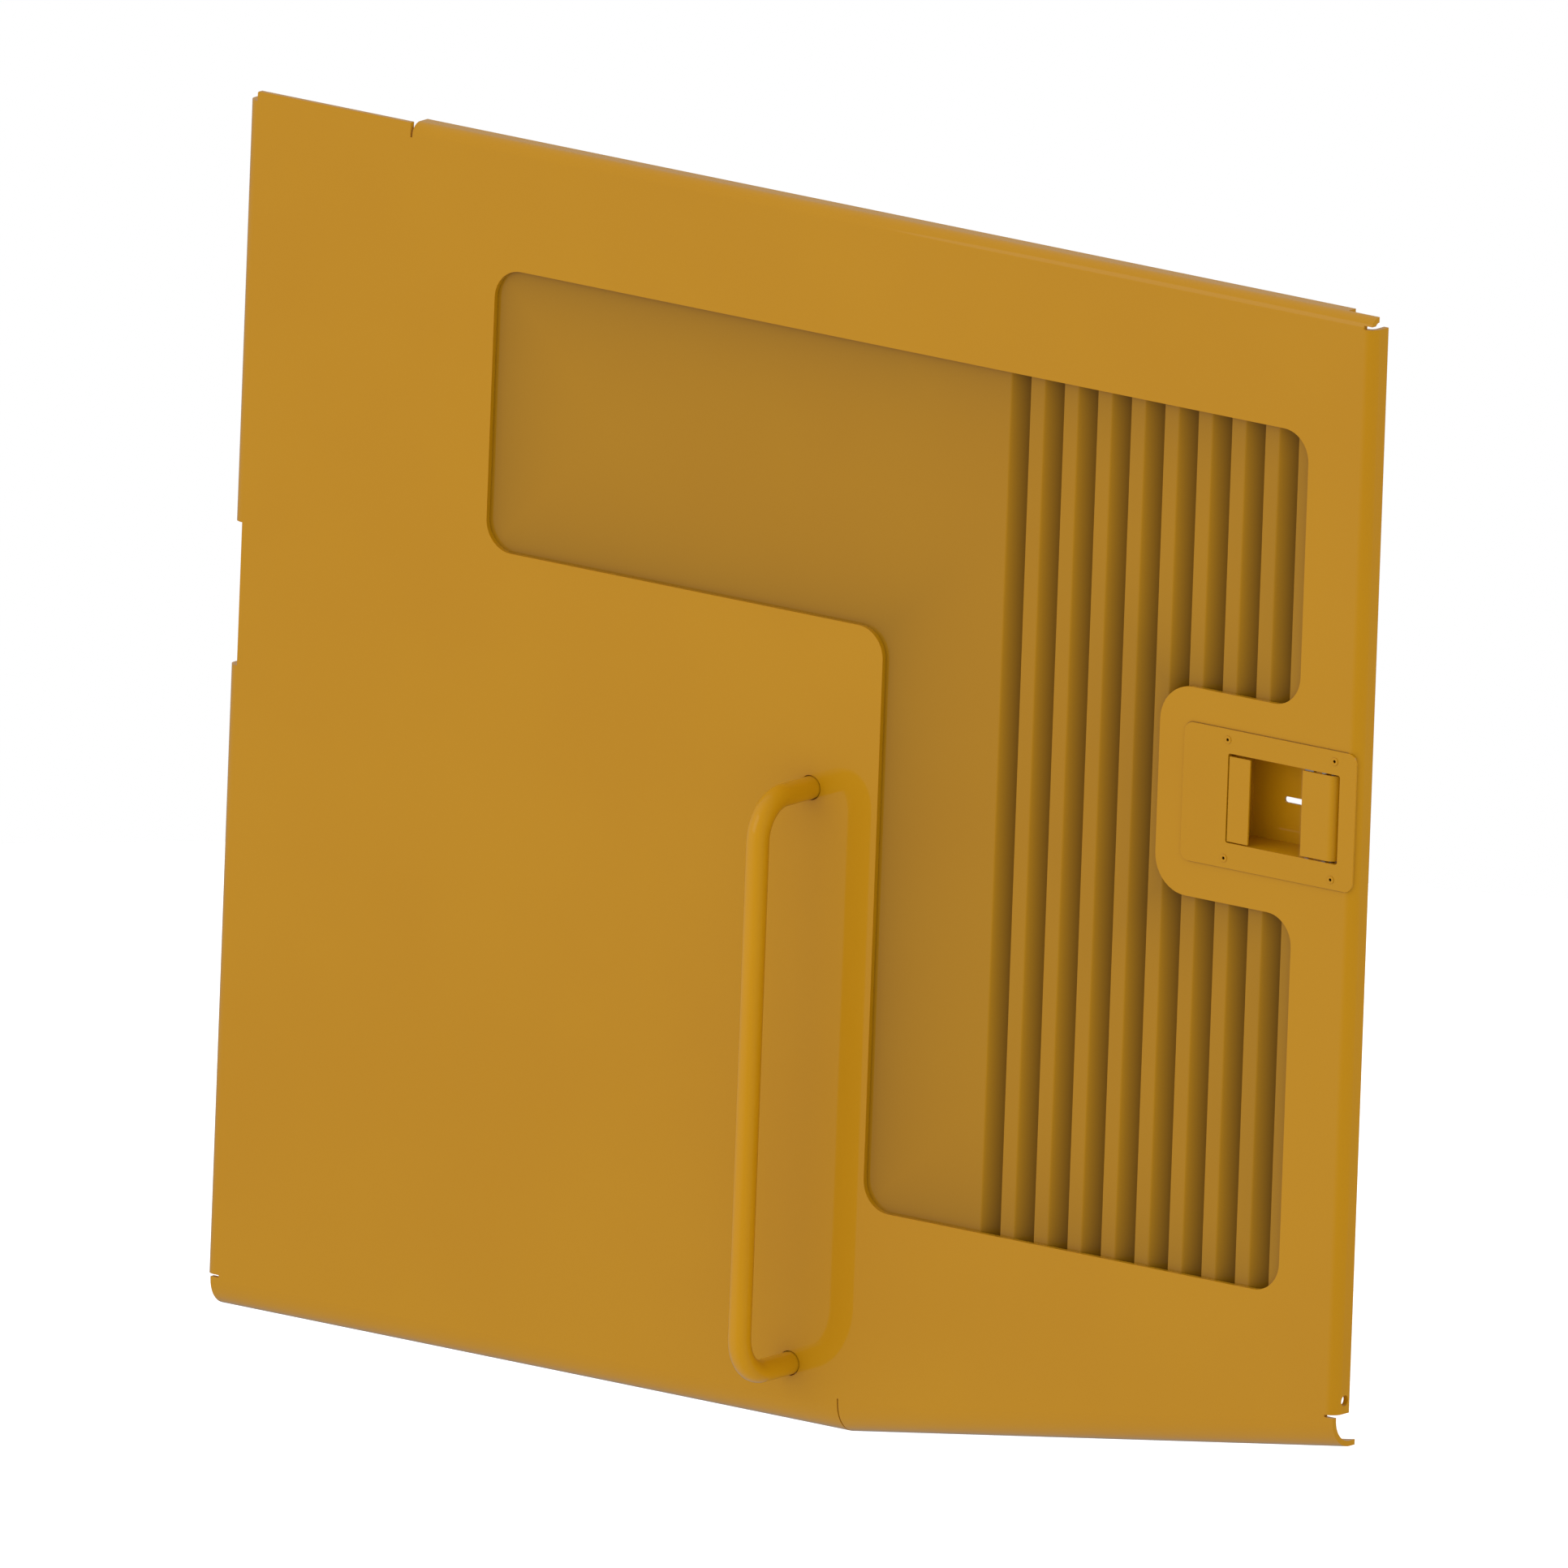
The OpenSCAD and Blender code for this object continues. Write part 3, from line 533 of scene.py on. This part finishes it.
def add_bezel_shadow():
    """A thin dark strip of painted shade against the bezel's edge, as far as the skin is flat."""
    lo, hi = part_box("latch_bezel")
    out, under, proud, sunk = 0.6 * MM, 0.4 * MM, 0.12 * MM, 0.2 * MM
    x_end = SKIN_HI.x - SKIN_BEND
    outer = bezel_outline(x_end, lo.x - out, lo.z - out, hi.z + out, BEZEL_CORNER + out)
    inner = bezel_outline(x_end, lo.x + under, lo.z + under, hi.z - under, BEZEL_CORNER - under)
    count = len(outer)
    front, back = SKIN_LO.y - proud, SKIN_LO.y + sunk
    verts = [(x, y, z) for line, y in ((outer, back), (outer, front), (inner, front), (inner, back))
             for x, z in line]
    faces = [(a * count + i, a * count + i + 1, b * count + i + 1, b * count + i)
             for a, b in ((0, 1), (1, 2), (2, 3), (3, 0)) for i in range(count - 1)]
    faces.append(tuple(k * count for k in range(4)))
    faces.append(tuple((k + 1) * count - 1 for k in (3, 2, 1, 0)))
    mesh = bpy.data.meshes.new("bezel_shadow_strip")
    mesh.from_pydata(verts, [], faces)
    bezel_shadow = bpy.data.objects.new("bezel_shadow_strip", mesh)
    bpy.context.scene.collection.objects.link(bezel_shadow)
    mesh.materials.append(FINISHES["bezel_shadow"])
    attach(bezel_shadow, "door")


# ---------- the scene ----------

FINISHES = {
    "yellow_paint": enamel("yellow_enamel", PAINT, PAINT_DEEP, PAINT_WEAR_AND_HIGHLIGHT),
    "inner_paint": enamel("inner_enamel", toned(PAINT, SHEET_TONE), toned(PAINT_DEEP, SHEET_TONE),
                          PAINT_WEAR_AND_HIGHLIGHT, sheet=True, dark=LOUVRE_SHADE),
    "rivet_paint": enamel("rivet_enamel", PAINT, PAINT_DEEP, PAINT_WEAR_AND_HIGHLIGHT, dark=RIVET_SHADE),
    # bar and latch pan: a brighter copy of the paint, as painted light
    "bar_paint": enamel("bar_enamel_painted_light", toned(PAINT, BAR_PAINTED_LIGHT), toned(PAINT_DEEP, BAR_PAINTED_LIGHT), PAINT_WEAR_AND_HIGHLIGHT),
    # the bezel's outline: a dark strip of painted shade
    "bezel_shadow": enamel("bezel_painted_shadow", BEZEL_SHADOW_TONE, BEZEL_SHADOW_DEEP, BEZEL_SHADOW_TONE),
    "zinc_steel": zinc_finish("zinc_plate"),
    "spring_steel": spring_finish("spring_steel_finish"),
    "rubber": rubber_finish("black_rubber"),
}

# the nodes of each finish; all the others are zinc plated
FINISHED = {
    "yellow_paint": ["door_skin", "hinge_stiffener", "handle_stiffener", "latch_bezel", "latch_cover",
                     "latch_paddle", "upper_door_leaf", "lower_door_leaf", "upper_frame_leaf",
                     "lower_frame_leaf"],
    "inner_paint": ["louver_panel"],
    "rivet_paint": ["latch_rivets"],
    "bar_paint": ["grab_handle", "latch_pan"],
    "rubber": ["door_bumpers"],
    "spring_steel": ["paddle_spring", "hook_spring"],
}
FINISH_OF = {node_name: finish for finish, names in FINISHED.items() for node_name in names}
SMOOTH_BELOW = math.radians(32.0)
# widths of the rounded edges, in millimetres
SOFT_EDGES = {
    "door_bumpers": 0.8, "latch_bezel": 0.3, "latch_cover": 0.3, "latch_hook": 0.5,
    "handle_nuts": 0.6, "leaf_nuts": 0.4, "leaf_bolts": 0.4, "handle_washers": 0.3,
    "upper_door_leaf": 0.5, "lower_door_leaf": 0.5, "upper_frame_leaf": 0.5, "lower_frame_leaf": 0.5,
}

add_camera()
add_stage()
GROUP = smoothing_group(SMOOTH_BELOW)
for node_name, node_object in NODES.items():
    node_object.data.materials.clear()
    node_object.data.materials.append(FINISHES[FINISH_OF.get(node_name, "zinc_steel")])
    smooth(node_object, GROUP)
    if node_name in SOFT_EDGES:
        soften(node_object, SOFT_EDGES[node_name] * MM)
    weigh(node_object)

for spring_node, wire, turns, leg in SPRINGS:
    add_spring(spring_node, wire * MM, turns, leg * MM)
add_bezel_shadow()
